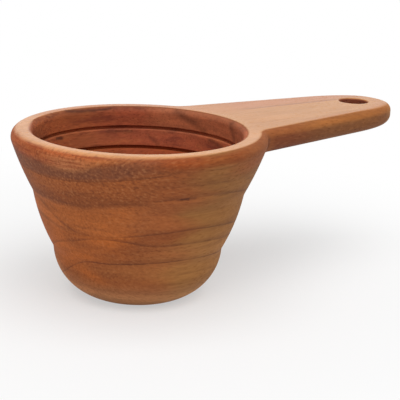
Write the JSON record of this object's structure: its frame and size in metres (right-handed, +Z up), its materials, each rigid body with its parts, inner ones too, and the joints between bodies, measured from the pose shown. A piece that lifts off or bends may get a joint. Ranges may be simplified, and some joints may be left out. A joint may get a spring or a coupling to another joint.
{
  "type": "measuring spoon",
  "caption": "Wooden measuring spoon: a round cup with a stepped outside and measuring rings inside, and a flat handle with a hanging hole.",
  "frame": {"origin": "centre of the cup's flat foot", "axes": "+Z up along the cup's axis, +X from the cup towards the tip of the handle"},
  "size_m": [0.1313, 0.0706, 0.0469],
  "materials": {
    "wood": "satin",
    "dowel_wood": "matte"
  },
  "bodies": {
    "root": {"cup": "wood", "handle": "wood", "dowel_left": "dowel_wood", "dowel_right": "dowel_wood"}
  },
  "joints": []
}
